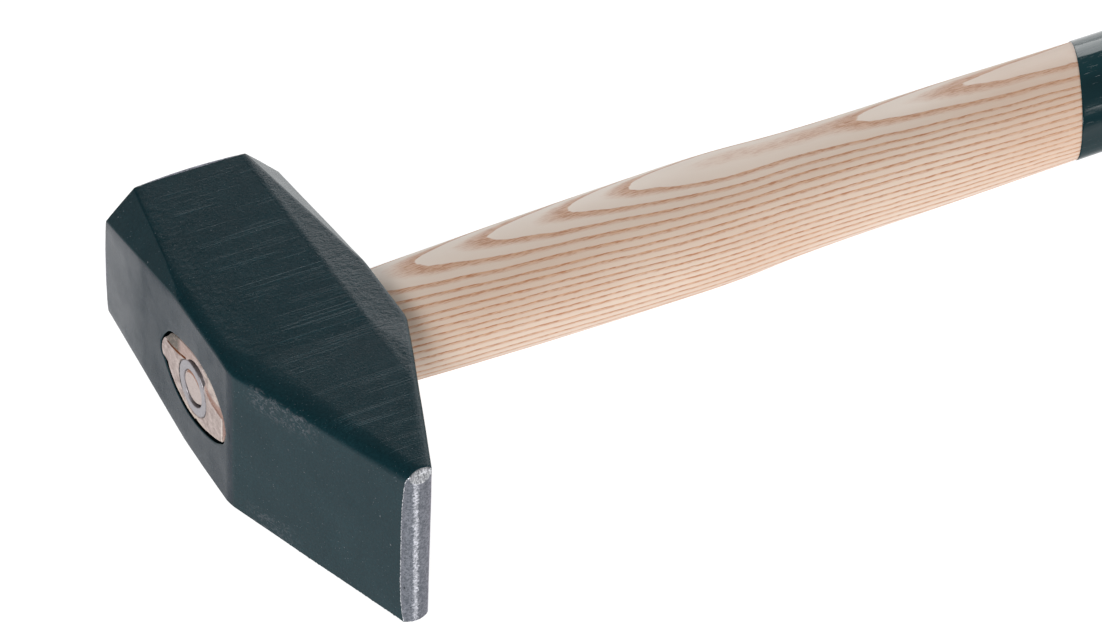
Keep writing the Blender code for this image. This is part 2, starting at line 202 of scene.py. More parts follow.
def skin(name, rings, cap_start=False, cap_end=False):
    """A skin over closed rings of equally many points, whose faces point outward for rising x."""
    rings = np.asarray(rings)
    rows, columns = rings.shape[:2]
    points = list(rings.reshape(-1, 3))
    faces = grid_faces(rows, columns)
    if cap_start:
        points.append(rings[0].mean(axis=0))
        middle = len(points) - 1
        faces += [(middle, (side + 1) % columns, side) for side in range(columns)]
    if cap_end:
        points.append(rings[-1].mean(axis=0))
        middle = len(points) - 1
        last = (rows - 1) * columns
        faces += [(middle, last + side, last + (side + 1) % columns) for side in range(columns)]
    return mesh_object(name, points, faces)


def finish_piece(item, slot, *nodes):
    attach(item, "root")
    if nodes:
        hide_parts(*nodes)


# ---------------------------------------------------------------- shape of the head

def meet(a, b, leg_a, leg_b):
    """Distance to the overlap of two solids. Their shared edge is rounded: the rounding starts
    leg_a below the first solid's surface and leg_b below the second's."""
    u = np.maximum(a / leg_a + 1, 0.0)
    v = np.maximum(b / leg_b + 1, 0.0)
    total = np.maximum(u * u + v * v, 1e-12)
    size = (leg_a * u * u + leg_b * v * v) / total
    rounded = (np.sqrt(total) - 1) * size
    return np.where((u > 0) & (v > 0), rounded, np.maximum(a, b))


def plane_distance(points, a, b, c, outside):
    """Signed distance from the plane through three points, positive on the outside point's side."""
    normal = (Vector(b) - Vector(a)).cross(Vector(c) - Vector(a)).normalized()
    if normal.dot(Vector(outside) - Vector(a)) < 0:
        normal.negate()
    return (points - np.array(a)) @ np.array(normal)


def corner_distance(points, side, leg, length):
    """Distance from a long corner chamfer, for points folded to the upper half of the head."""
    corner = (side * HALF_DEPTH, STRIKING_FACE_Y, MID_Z)
    return plane_distance(points,
                          (corner[0] - side * leg, corner[1], corner[2]),
                          (corner[0], corner[1], corner[2] - leg),
                          (corner[0], corner[1] - length, corner[2]),
                          corner)


def closed_curve(points, per_side):
    """Points on a smooth closed curve through the given ones."""
    points = np.asarray(points, float)
    before, after, later = (np.roll(points, shift, axis=0) for shift in (1, -1, -2))
    curve = []
    for t in np.linspace(0, 1, per_side, endpoint=False):
        curve.append(0.5 * (2 * points + (after - before) * t
                            + (2 * before - 5 * points + 4 * after - later) * t**2
                            + (3 * points - before - 3 * after + later) * t**3))
    return np.stack(curve, axis=1).reshape(-1, 2)


def radius_table(outline):
    """Radius of an outline round the middle of the eye, at evenly spaced angles."""
    curve = closed_curve(outline, 12) * MM - (0, MID_Z)
    angle = np.arctan2(curve[:, 1], curve[:, 0])
    order = np.argsort(angle)
    even = np.linspace(-math.pi, math.pi, 721)
    radius = np.hypot(curve[:, 0], curve[:, 1])
    return even, np.interp(even, angle[order], radius[order], period=math.tau)


MOUTH_ANGLES, MOUTH_RADII = radius_table(EYE_MOUTH)
WOOD_ANGLES, WOOD_RADII = radius_table(WOOD_END)


def eye_section(share):
    """Half axes and power of the eye behind its mouth, at a share of the head's depth."""
    t = np.clip((share - EYE_WAIST_AT) / (1 - EYE_WAIST_AT), 0.0, 1.0) ** 2
    return [waist + (entry - waist) * t for waist, entry in zip(EYE_WAIST, EYE_ENTRY)]


def eye_radius(angle, share):
    """Radius of the eye at each angle and share of the head's depth."""
    half_y, half_z, power = eye_section(share)
    oval = (np.abs(np.cos(angle) / half_y) ** power
            + np.abs(np.sin(angle) / half_z) ** power) ** (-1 / power)
    mouth = np.interp(angle, MOUTH_ANGLES, MOUTH_RADII)
    inward = smoothstep(share, 0.05, 0.35)
    return mouth + (oval - mouth) * inward


def eye_distance(points):
    """Signed distance from the wall of the eye, positive inside the hole."""
    y = points[:, 1]
    z = points[:, 2] - MID_Z
    share = (points[:, 0] + HALF_DEPTH) / (2 * HALF_DEPTH)
    angle = np.arctan2(z, y)
    radius = eye_radius(angle, share)
    turn = 0.01
    slope = (eye_radius(angle + turn, share) - eye_radius(angle - turn, share)) / (2 * turn)
    return (radius - np.hypot(y, z)) / np.sqrt(1 + (slope / radius) ** 2)


def head_distance(points):
    """Signed distance from the painted surface of the head, negative inside the steel."""
    x, y = points[:, 0], points[:, 1]
    pein = np.clip((CREASE_Y - y) / (CREASE_Y - NOSE_Y), 0.0, 1.1)
    folded_z = np.abs(points[:, 2] - MID_Z) / (1 + pein * NOSE_FLARE / MID_Z)
    folded = np.stack([x, y, folded_z], axis=1)
    cheek = folded_z - MID_Z
    sides = []
    for side in (-1, 1):
        slope = ((side * x - HALF_DEPTH) * math.cos(TAPER)
                 - (y - CREASE_Y) * math.sin(TAPER))
        sides.append(meet(side * x - HALF_DEPTH, slope, CREASE_EDGE, CREASE_EDGE))
    width, fall = GRIP_SIDE_DRAFT
    bevel = plane_distance(folded, (HALF_DEPTH - width, STRIKING_FACE_Y, MID_Z),
                           (HALF_DEPTH - width, CREASE_Y, MID_Z),
                           (HALF_DEPTH, CREASE_Y, MID_Z - fall), (HALF_DEPTH, 0, MID_Z))
    bevel -= 2.5 * MM * pein
    cheek = meet(cheek, bevel, DRAFT_EDGE, DRAFT_EDGE)
    near_pein = smoothstep(-y, -CREASE_Y - 9 * MM, -CREASE_Y + 3 * MM)
    upper = points[:, 2] > MID_Z
    on_cheek = np.where(upper, 5.5 + 6.0 * near_pein - 6.0 * pein, 3.2 - 2.2 * pein) * MM
    on_side = np.where(upper, 2.2 + 0.7 * near_pein + 1.0 * pein, 1.2 - 0.8 * pein) * MM
    body = meet(cheek, sides[0], on_side, on_cheek)
    body = meet(body, sides[1], 1.2 * MM, (1.6 + 3.0 * pein) * MM)
    body = meet(body, corner_distance(folded, -1, *EYE_SIDE_CHAMFER), 0.25 * MM, 2.4 * MM)
    body = meet(body, corner_distance(folded, 1, *GRIP_SIDE_CHAMFER), GRIP_CHAMFER_EDGE,
                GRIP_CHAMFER_EDGE)
    dome = np.linalg.norm(points - (0, DOME_TOP_Y - FACE_CROWN_RADIUS, MID_Z), axis=1)
    body = meet(body, dome - FACE_CROWN_RADIUS, END_EDGE, END_EDGE)
    nose_radius = (HALF_NOSE**2 + NOSE_CROWN**2) / (2 * NOSE_CROWN)
    nose = NOSE_Y - NOSE_CROWN + x * x / (2 * nose_radius) - y
    facet = ((points[:, 2] - FACET_START_Z) * math.sin(NOSE_FACET_ANGLE)
             - (y - NOSE_Y + NOSE_CROWN) * math.cos(NOSE_FACET_ANGLE))
    nose = meet(nose, facet, FACET_EDGE, FACET_EDGE)
    body = meet(body, nose, END_EDGE, END_EDGE)
    return meet(body, eye_distance(points), EYE_EDGE, EYE_EDGE)


def head_gradient(points):
    step = 0.02 * MM
    columns = []
    for axis in np.eye(3) * step:
        columns.append((head_distance(points + axis) - head_distance(points - axis)) / (2 * step))
    return np.stack(columns, axis=1)


def forging_relief(points, normals):
    """How deep the forged and ground skin dips below the smooth shape, in metres."""
    x = points[:, 0]
    on_cheek = smoothstep(np.abs(normals[:, 2]), 0.80, 0.97)
    waves = 0.05 * (1 + noise(points, 14 * MM, 1)) + 0.02 * (1 + noise(points, 6 * MM, 2))
    bevel = smoothstep(x + 1.5 * MM * noise(points, 9 * MM, 3), 0.0165, 0.0205) * on_cheek
    rough = np.abs(noise(points, (2.2 * MM, 1.4 * MM, 3 * MM), 4))
    rough += 0.7 * np.abs(noise(points, (1.1 * MM, 0.8 * MM, 2 * MM), 5))
    flank = smoothstep(-x, 0.008, 0.021) * on_cheek
    return (waves * (1 - 0.85 * on_cheek) + 0.10 * bevel * rough + 0.04 * flank * rough) * MM


def make_head():
    """The head: the CAD solid at an even fine mesh, moved on to the rounded and forged shape."""
    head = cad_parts["hammer_head"].copy()
    head.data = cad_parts["hammer_head"].data.copy()
    head.name = head.data.name = "painted_head"
    for key in list(head.keys()):
        del head[key]
    head.parent = None
    bpy.context.scene.collection.objects.link(head)
    remesh = head.modifiers.new("Even mesh", "REMESH")
    remesh.mode = "VOXEL"
    remesh.voxel_size = HEAD_VOXEL
    fine = bpy.data.meshes.new_from_object(
        head.evaluated_get(bpy.context.evaluated_depsgraph_get()))
    head.modifiers.clear()
    head.data = fine
    points = np.empty(len(fine.vertices) * 3)
    fine.vertices.foreach_get("co", points)
    points = points.reshape(-1, 3)
    passes = 7
    longest_move = 0.4 * MM
    for _ in range(passes):
        gradient = head_gradient(points)
        size = np.maximum((gradient**2).sum(axis=1), 0.05)
        move = gradient * (head_distance(points) / size)[:, None]
        length = np.linalg.norm(move, axis=1, keepdims=True)
        points = points - move * np.minimum(1.0, longest_move / np.maximum(length, 1e-9))
    normals = head_gradient(points)
    normals /= np.maximum(np.linalg.norm(normals, axis=1, keepdims=True), 1e-9)
    points = points - normals * forging_relief(points, normals)[:, None]
    points = np.clip(points, np.array(HEAD_LOW), np.array(HEAD_HIGH))
    fine.vertices.foreach_set("co", points.ravel())
    fine.update()
    fine.shade_smooth()
    return head


# ---------------------------------------------------------------- shape of the handle

def smooth_value(x, column):
    """Smooth curve through the handle's stations at a distance from the eye face, in metres."""
    stations = HANDLE_SHAPE
    distance = x / MM
    last = len(stations) - 1
    index = 0
    while index < last - 1 and distance > stations[index + 1][0]:
        index += 1
    x_low, x_high = stations[index][0], stations[index + 1][0]
    low, high = stations[index][column], stations[index + 1][column]
    before, after = stations[max(index - 1, 0)], stations[min(index + 2, last)]
    span = x_high - x_low
    slope_low = (high - before[column]) / (x_high - before[0]) * span
    slope_high = (after[column] - low) / (after[0] - x_low) * span
    t = (distance - x_low) / span
    return ((2 * t**3 - 3 * t**2 + 1) * low + (t**3 - 2 * t**2 + t) * slope_low
            + (3 * t**2 - 2 * t**3) * high + (t**3 - t**2) * slope_high) * MM


def oval_ring(x, half_y, half_z, power=2.0, slant=0.0):
    """A closed oval round the handle's axis at x, leaning along x by the slant times its y."""
    angle = np.arange(HANDLE_SIDES) * math.tau / HANDLE_SIDES
    cosine, sine = np.cos(angle), np.sin(angle)
    y = half_y * np.copysign(np.abs(cosine) ** (2 / power), cosine)
    z = half_z * np.copysign(np.abs(sine) ** (2 / power), sine)
    along = x + slant * y
    lean = HANDLE_LEAN * np.maximum(along + HALF_DEPTH - LEAN_START, 0.0)
    return np.stack([along, y + lean, MID_Z + z], axis=1)


def handle_ring(distance, grow, slant):
    """The handle's outline at a distance from the eye face, grown outward."""
    return oval_ring(distance - HALF_DEPTH, smooth_value(distance, 1) + grow,
                     smooth_value(distance, 2) + grow, slant=slant)


def handle_rings(start, end, steps, grow, start_slant, end_slant):
    """Outlines of the handle between two distances, whose slant changes evenly."""
    rings = []
    for share in np.linspace(0, 1, steps + 1):
        slant = start_slant + (end_slant - start_slant) * share
        rings.append(handle_ring(start + (end - start) * share, grow, slant))
    return rings


def butt_rings(grow):
    """The rounded end of the handle, after its last station, closed down to a small flat."""
    steps = 14
    start = HANDLE_SHAPE[-1][0] * MM
    half_y = HANDLE_SHAPE[-1][1] * MM + grow
    half_z = HANDLE_SHAPE[-1][2] * MM + grow
    straight = HANDLE_LENGTH + grow - BUTT_ROUNDING - start
    rings = []
    for share in np.linspace(0, 1, steps + 1):
        angle = math.pi / 2 * share
        shrink = BUTT_ROUNDING * (1 - math.cos(angle)) * 0.9
        x = start + straight + BUTT_ROUNDING * math.sin(angle) - HALF_DEPTH
        rings.append(oval_ring(x, half_y - shrink, half_z - shrink))
    end = rings[-1]
    middle = end.mean(axis=0)
    for share in (0.8, 0.55, 0.3, 0.1):
        rings.append(middle + (end - middle) * share)
    return rings


def make_handle():
    """The bare wood, from just behind the end grain to just inside the coating."""
    rings = []
    for share in np.linspace(0.06, 1, 30)[:-1]:
        half_y, half_z, power = eye_section(share)
        rings.append(oval_ring(HALF_DEPTH * (2 * share - 1), half_y - EYE_GAP, half_z - EYE_GAP,
                               power))
    rings += handle_rings(2 * HALF_DEPTH, COATING_START + 2 * MM, 180, 0.0, 0.0, COATING_SLANT)
    return skin("handle_wood", rings, cap_start=True, cap_end=True)


def make_coating():
    """The lacquer film: its rounded lip, the length of the grip and the closed butt."""
    lip = []
    for along, grow in ((0.0, -0.25), (0.0, 0.10), (0.12, 0.22), (0.35, 0.29)):
        lip.append(handle_ring(COATING_START + along * MM, grow * MM, COATING_SLANT))
    body = handle_rings(COATING_START + 0.8 * MM, HANDLE_SHAPE[-1][0] * MM, 150, COATING_STEP,
                        COATING_SLANT, 0.0)
    return skin("grip_lacquer_film", lip + body + butt_rings(COATING_STEP), cap_end=True)


def make_ring():
    """The ring wedge, with soft edges on its driven end."""
    sides = 144
    steps = 7
    edge = 0.45 * MM
    wall_depth = RING_DEPTH * 0.6
    profile = [(RING_INNER_RADIUS - 0.1 * MM, wall_depth)]
    for angle in np.linspace(0, math.pi / 2, steps):
        profile.append((RING_INNER_RADIUS + edge * (1 - math.cos(angle)),
                        edge * (1 - math.sin(angle))))
    flat_width = RING_OUTER_RADIUS - RING_INNER_RADIUS - 2 * edge
    for share in np.linspace(0.1, 0.9, steps):
        profile.append((RING_INNER_RADIUS + edge + flat_width * share, 0.0))
    for angle in np.linspace(math.pi / 2, 0, steps):
        profile.append((RING_OUTER_RADIUS - edge * (1 - math.cos(angle)),
                        edge * (1 - math.sin(angle))))
    profile.append((RING_OUTER_RADIUS - 0.4 * MM, wall_depth))
    turn = np.arange(sides) * math.tau / sides
    rings = []
    for radius, depth in profile:
        ring = np.stack([np.full(sides, -HALF_DEPTH + depth), RING_Y + radius * np.cos(turn),
                         RING_Z + radius * np.sin(turn)], axis=1)
        ring[:, 0] += 0.03 * MM * (1 + noise(ring, 3 * MM, 11))
        rings.append(ring)
    return skin("ring_wedge_steel", rings)


def line_height(y, points):
    """Height, in metres, of a line through (y, z) points given in mm."""
    table = np.array(sorted(points)) * MM
    return np.interp(y, table[:, 0], table[:, 1])


def make_end_grain():
    """The end of the handle in the eye, spread by the ring wedge, cracked and torn."""
    sides = 720
    rows = 91
    turn = np.arange(sides) * math.tau / sides
    mouth_gap = 0.2 * MM
    radius = np.interp((turn + math.pi) % math.tau - math.pi, WOOD_ANGLES, WOOD_RADII) - mouth_gap
    outer_y = radius * np.cos(turn)
    outer_z = MID_Z + radius * np.sin(turn)
    from_ring = np.arctan2(outer_z - RING_Z, outer_y - RING_Y)
    inner_radius = RING_OUTER_RADIUS + 0.18 * MM
    inner_y = RING_Y + inner_radius * np.cos(from_ring)
    inner_z = RING_Z + inner_radius * np.sin(from_ring)
    rings = []
    for share in np.linspace(0, 1, rows):
        y = inner_y + (outer_y - inner_y) * share
        z = inner_z + (outer_z - inner_z) * share
        rings.append(np.stack([np.zeros(sides), y, z], axis=1))
    top = np.array(rings)
    flat = top.reshape(-1, 3)
    y, z = flat[:, 1], flat[:, 2]
    ends = smoothstep(y, 5.2 * MM, 6.4 * MM) * smoothstep(-y, -20.0 * MM, -18.0 * MM)
    crack = smoothstep(-np.abs(z - line_height(y, CRACK)), -0.42 * MM, -0.15 * MM) * ends
    ledge = smoothstep(z - line_height(y, LEDGE_LOW), 0.0, 0.5 * MM)
    ledge *= smoothstep(line_height(y, LEDGE_HIGH) - z, 0.0, 2.0 * MM)
    ledge *= smoothstep(-y, 7.8 * MM, 9.0 * MM)
    # the hollow's width in mm, by the bearing in degrees from the pein side of the ring upward
    bearing = np.degrees(np.arctan2(z - RING_Z, RING_Y - y))
    width = np.interp(bearing, (24, 36, 41, 46, 60, 72, 86, 101, 114),
                      (0.0, 1.0, 1.5, 4.0, 3.9, 3.5, 2.6, 1.3, 0.0)) * MM
    width = np.where((bearing > 24) & (bearing < 114), width, -1 * MM)
    beyond = np.hypot(y - RING_Y, z - RING_Z) - RING_OUTER_RADIUS
    hollow = smoothstep(width - beyond, 0.0, 0.35 * MM)
    rough = noise(flat, (1, 0.7 * MM, 0.7 * MM), 22) + 0.6 * noise(flat, (1, 0.3 * MM, 0.3 * MM), 23)
    stubble = noise(flat, (1, 2.4 * MM, 0.25 * MM), 24)
    depth = END_GRAIN_SINK + 0.03 * MM * rough + 0.03 * MM * stubble
    depth += 1.0 * MM * crack + 1.9 * MM * hollow + 0.45 * MM * ledge
    edge_share = np.repeat(np.linspace(0, 1, rows), sides)
    depth += 0.15 * MM * smoothstep(edge_share, 0.96, 1.0)
    flat[:, 0] = -HALF_DEPTH + np.maximum(depth, 0.02 * MM)
    top = flat.reshape(top.shape)
    wall_in = top[0].copy()
    wall_in[:, 0] = -HALF_DEPTH + END_WALL
    wall_out = top[-1].copy()
    wall_out[:, 0] = -HALF_DEPTH + END_WALL
    wall_out[:, 1:] += (np.array((0, MID_Z)) - wall_out[:, 1:]) * 0.02
    return skin("end_grain", [wall_in, *top, wall_out])


def make_ring_core():
    """The wood inside the ring wedge, clear of it along its lower side."""
    sides = 240
    rows = 30
    turn = np.arange(sides) * math.tau / sides
    gap = 0.15 + 1.15 * smoothstep(-np.sin(turn - 0.1), 0.15, 0.8)
    radius = RING_INNER_RADIUS - gap * MM
    rings = []
    for share in np.linspace(1, 0.02, rows):
        rings.append(np.stack([np.zeros(sides), RING_Y + radius * share * np.cos(turn),
                               RING_Z + radius * share * np.sin(turn)], axis=1))
    top = np.array(rings)
    flat = top.reshape(-1, 3)
    rough = noise(flat, (1, 0.8 * MM, 0.8 * MM), 31) + 0.6 * noise(flat, (1, 0.3 * MM, 0.3 * MM), 32)
    edge = np.repeat(np.linspace(1, 0.02, rows), sides)
    flat[:, 0] = -HALF_DEPTH + 0.3 * MM + 0.05 * MM * rough + 0.25 * MM * smoothstep(edge, 0.9, 1.0)
    top = flat.reshape(top.shape)
    wall = top[0].copy()
    wall[:, 0] = -HALF_DEPTH + END_WALL
    return skin("ring_core_wood", [wall, *top])


# ---------------------------------------------------------------- materials

class Shader:
    """Builds one material's nodes."""

    def __init__(self, name):
        self.material = bpy.data.materials.new(name)
        self.material.use_nodes = True
        self.tree = self.material.node_tree
        self.bsdf = self.tree.nodes["Principled BSDF"]
        coordinates = self.add("ShaderNodeTexCoord")
        self.place = coordinates.outputs["Object"]
        self.normal = coordinates.outputs["Normal"]

    def add(self, kind, **settings):
        node = self.tree.nodes.new(kind)
        for key, value in settings.items():
            setattr(node, key, value)
        return node

    def feed(self, socket, value):
        if isinstance(value, bpy.types.NodeSocket):
            self.tree.links.new(value, socket)
        else:
            socket.default_value = value

    def set(self, **values):
        for name, value in values.items():
            self.feed(self.bsdf.inputs[name.replace("_", " ")], value)

    def math(self, operation, *values):
        node = self.add("ShaderNodeMath", operation=operation)
        for socket, value in zip(node.inputs, values):
            self.feed(socket, value)
        return node.outputs[0]

    def times(self, first, *others):
        """The product of all the values."""
        for value in others:
            first = self.math("MULTIPLY", first, value)
        return first

    def minus(self, first, second):
        return self.math("SUBTRACT", first, second)

    def vector(self, operation, *values):
        node = self.add("ShaderNodeVectorMath", operation=operation)
        for socket, value in zip(node.inputs, values):
            self.feed(socket, value)
        return node.outputs["Value" if operation == "DOT_PRODUCT" else "Vector"]

    def part(self, vector, axis):
        node = self.add("ShaderNodeSeparateXYZ")
        self.feed(node.inputs[0], vector)
        return node.outputs[axis]

    def noise(self, size, detail=2.0, roughness=0.5, distortion=0.0):
        """Noise from 0 to 1, with features of the given size in mm, or three sizes along the axes."""
        if isinstance(size, (int, float)):
            size = (size, size, size)
        scaled = self.vector("MULTIPLY", self.place, tuple(1 / (MM * s) for s in size))
        node = self.add("ShaderNodeTexNoise")
        self.feed(node.inputs["Vector"], scaled)
        self.feed(node.inputs["Scale"], 1.0)
        self.feed(node.inputs["Detail"], detail)
        self.feed(node.inputs["Roughness"], roughness)
        self.feed(node.inputs["Distortion"], distortion)
        return node.outputs["Fac"]

    def wobble(self, amount, *settings):
        """Noise round zero, up to half the amount either way."""
        return self.times(self.minus(self.noise(*settings), 0.5), amount)

    def step(self, value, low, high, bottom=0.0, top=1.0):
        """Rises smoothly from bottom to top as the value goes from low to high."""
        node = self.add("ShaderNodeMapRange", interpolation_type="SMOOTHSTEP")
        for name, number in (("Value", value), ("From Min", low), ("From Max", high),
                             ("To Min", bottom), ("To Max", top)):
            self.feed(node.inputs[name], number)
        return node.outputs[0]

    def mix(self, factor, a, b):
        node = self.add("ShaderNodeMix", data_type="RGBA")
        for index, value in ((0, factor), (6, a), (7, b)):
            if index and not isinstance(value, bpy.types.NodeSocket):
                value = (*value, 1.0)
            self.feed(node.inputs[index], value)
        return node.outputs[2]

    def line(self, value, points):
        """Height of a line through (value, height) points, by straight pieces."""
        points = sorted(points)
        low, high = min(p[1] for p in points), max(p[1] for p in points)
        node = self.add("ShaderNodeFloatCurve")
        curve = node.mapping.curves[0]
        while len(curve.points) < len(points):
            curve.points.new(0.5, 0.5)
        start, end = points[0][0], points[-1][0]
        for point, (place, height) in zip(curve.points, points):
            point.location = ((place - start) / (end - start), (height - low) / (high - low))
            point.handle_type = "VECTOR"
        node.mapping.update()
        share = self.math("DIVIDE", self.minus(value, start), end - start)
        self.feed(node.inputs["Value"], share)
        return self.math("MULTIPLY_ADD", node.outputs[0], high - low, low)

    def bump(self, height, distance, normal=None):
        """A bump whose height runs from 0 to 1, over the given distance in mm."""
        node = self.add("ShaderNodeBump")
        self.feed(node.inputs["Height"], height)
        self.feed(node.inputs["Distance"], distance * MM)
        self.feed(node.inputs["Strength"], 1.0)
        if normal is not None:
            self.feed(node.inputs["Normal"], normal)
        return node.outputs[0]


# Colours of the head, as linear red, green and blue
PAINT_DARK, PAINT_LIGHT = (0.0060, 0.0310, 0.0395), (0.0082, 0.0370, 0.0465)
# painted sheen: a greyer, bluer copy of the paint for the eye's side
PAINT_EYE_SIDE_SHEEN = (0.0120, 0.0200, 0.0370)
PAINT_SMUDGE = (0.004, 0.010, 0.013)
PAINT_DUST = (0.22, 0.25, 0.28)
PAINT_SCUFF = (0.15, 0.16, 0.18)
PAINT_CHIP = (0.20, 0.22, 0.24)
PAINT_GROUND_LINE = (0.024, 0.085, 0.105)
PAINT_GRAIN = (0.0030, 0.0165, 0.0215)
# painted shade for the wall inside the eye
EYE_WALL_SHADE = (0.0016, 0.0018, 0.0018)
STEEL_DARK, STEEL_LIGHT = (0.190, 0.205, 0.237), (0.250, 0.262, 0.297)
# painted shade for the nose's grip side
STEEL_GRIP_SIDE_SHADE = (0.196, 0.202, 0.226)
STEEL_WORN = (0.095, 0.098, 0.105)
STEEL_SPECK = (0.03, 0.035, 0.04)
# painted highlight on the nose's ridge
STEEL_RIDGE_HIGHLIGHT = (0.72, 0.73, 0.79)
# painted highlight along the nose's paint edge
STEEL_RIM_HIGHLIGHT = (0.95, 0.96, 1.0)
FACET_DARK, FACET_LIGHT = (0.35, 0.355, 0.385), (0.82, 0.83, 0.85)

# Specular level of the eye's side, at places along y in mm: a painted reflection that brightens and
# dims along the side
EYE_SIDE_REFLECTION_LEVEL = ((-30, 0.15), (-20, 0.09), (0, 0.14), (20, 0.08), (36, 0.07), (52, 0.29),
                  (68, 0.36))


def paint_material():
    s = Shader("head_paint_over_forging")
    x, y, z = (s.part(s.place, axis) for axis in (0, 1, 2))
    cheek = s.step(s.math("ABSOLUTE", s.part(s.normal, 2)), 0.90, 0.975)

    # paint
    cloud = s.noise(16, 3.0, 0.6)
    colour = s.mix(s.step(cloud, 0.3, 0.7), PAINT_DARK, PAINT_LIGHT)
    # painted sheen: the eye's side gets a greyer, bluer copy of the paint
    eye_side = s.step(s.part(s.normal, 0), -0.955, -0.985)
    colour = s.mix(s.times(eye_side, 0.75), colour, PAINT_EYE_SIDE_SHEEN)
    dark_patch = s.times(s.step(s.noise((4, 5, 4), 4.0, 0.65), 0.60, 0.72), eye_side)
    colour = s.mix(s.times(dark_patch, 0.6), colour, PAINT_SMUDGE)
    dust = s.step(s.noise(0.55, 1.0, 0.5), 0.72, 0.78)
    colour = s.mix(s.times(dust, 0.5), colour, PAINT_DUST)
    gloss = s.step(s.noise(5, 4.0, 0.6), 0.3, 0.7, 0.235, 0.27)

    # scuffs on the pein's slope near both cheeks, in mm along it from the crease, and chips
    along = s.math("DIVIDE", s.minus(CREASE_Y, y), MM * math.cos(TAPER))
    height = s.math("DIVIDE", z, MM)
    top_patch = s.times(s.step(along, 5, 12), s.step(along, 38, 30), s.step(height, 45, 51),
                        s.step(height, 55.8, 55.0))
    low_patch = s.times(s.step(along, 4, 14), s.step(along, 34, 20), s.step(height, 9.5, 5.5))
    patch = s.math("MAXIMUM", top_patch, s.times(low_patch, 0.6))
    patch = s.times(patch, s.step(x, 0.0, -2 * MM))
    scuff = s.step(s.noise((2.2, 2.2, 1.6), 6.0, 0.72, distortion=1.2), 0.48, 0.60)
    colour = s.mix(s.times(patch, scuff, 0.62), colour, PAINT_SCUFF)
    chips = s.times(s.step(s.noise(1.3, 3.0, 0.6), 0.70, 0.74), s.minus(1.0, cheek),
                    s.minus(1.0, eye_side))
    colour = s.mix(s.times(chips, 0.7), colour, PAINT_CHIP)

    # painted shade on the unpainted wall of the eye: near black on what lies in an oval round it and
    # between the two sides
    wide = s.math("DIVIDE", y, 25 * MM)
    tall = s.math("DIVIDE", s.minus(z, MID_Z), 17 * MM)
    oval = s.math("ADD", s.times(wide, wide), s.times(tall, tall))
    wall = s.times(s.step(oval, 1.02, 0.98),
                   s.step(x, -HALF_DEPTH + 0.15 * MM, -HALF_DEPTH + 0.5 * MM),
                   s.step(x, HALF_DEPTH - 0.5 * MM, HALF_DEPTH - 1.5 * MM))
    colour = s.mix(wall, colour, EYE_WALL_SHADE)

    # bare nose, its ground facet and the striking face
    across = s.math("DIVIDE", s.minus(z, MID_Z), MID_Z + NOSE_FLARE)
    arch = s.minus(1.0, s.math("POWER", s.math("ABSOLUTE", across), 4.0))
    ragged = s.wobble(0.7 * MM, 0.9, 3.0, 0.6)
    edge = s.math("ADD", s.times(arch, 1.75 * MM), ragged)
    from_nose = s.minus(s.minus(y, NOSE_Y), edge)
    nose_bare = s.step(from_nose, 0.06 * MM, -0.06 * MM)
    facet_depth = s.times(s.minus(z, FACET_START_Z), math.tan(NOSE_FACET_ANGLE))
    from_facet = s.minus(s.minus(y, NOSE_Y - NOSE_CROWN), facet_depth)
    facet = s.times(s.step(from_facet, 0.20 * MM, 0.11 * MM),
                    s.step(z, FACET_START_Z - 0.1 * MM, FACET_START_Z + 0.1 * MM))
    face_bare = s.step(y, STRIKING_FACE_Y - 0.15 * MM, STRIKING_FACE_Y + 0.05 * MM)
    bare = s.math("MAXIMUM", s.math("MAXIMUM", nose_bare, face_bare), facet)
    brushed = s.noise((0.5, 2, 5), 3.0, 0.6)
    steel = s.mix(s.step(brushed, 0.3, 0.7), STEEL_DARK, STEEL_LIGHT)
    # painted highlight: a bright line runs up the nose's ridge, leaning towards the eye's side;
    # distances in mm
    nose_height = 57.0
    ridge = s.minus(s.times(s.math("DIVIDE", height, nose_height), -0.95), 0.6)
    from_ridge = s.minus(s.math("DIVIDE", x, MM), ridge)
    on_nose = s.step(y, 0.0, -20 * MM)
    # painted shade: the steel on the grip side of the ridge is darker and flatter
    grip_side_shade = s.times(s.step(from_ridge, 0.0, 1.6, 0.0, 0.55), on_nose)
    steel = s.mix(grip_side_shade, steel, STEEL_GRIP_SIDE_SHADE)
    worn = s.times(s.step(s.noise((5, 5, 4), 4.0, 0.65), 0.54, 0.66), face_bare)
    steel = s.mix(s.times(worn, 0.6), steel, STEEL_WORN)
    specks = s.step(s.noise((1.1, 1.1, 0.7), 1.0), 0.69, 0.74)
    steel = s.mix(s.times(specks, 0.85), steel, STEEL_SPECK)
    frayed = s.wobble(3.6, (0.9, 0.9, 0.8), 2.0, 0.7)
    from_ridge = s.math("ABSOLUTE", s.math("ADD", from_ridge, frayed))
    ridge_highlight = s.times(s.step(from_ridge, 1.05, 0.20),
                  s.step(s.noise((0.8, 0.8, 1.1), 2.0, 0.6), 0.30, 0.62, 0.45, 1.0), on_nose)
    steel = s.mix(ridge_highlight, steel, STEEL_RIDGE_HIGHLIGHT)
    streak = s.step(s.noise((0.35, 1.2, 2.2), 3.0, 0.65), 0.40, 0.60)
    steel = s.mix(facet, steel, s.mix(streak, FACET_DARK, FACET_LIGHT))
    # painted highlight: a near-white line along the paint's edge on the nose
    rim_painted_light = s.times(s.step(s.math("ABSOLUTE", from_nose), 0.22 * MM, 0.10 * MM),
                  s.step(s.noise(0.8, 2.0), 0.40, 0.52))
    steel = s.mix(rim_painted_light, steel, STEEL_RIM_HIGHLIGHT)
    colour = s.mix(bare, colour, steel)

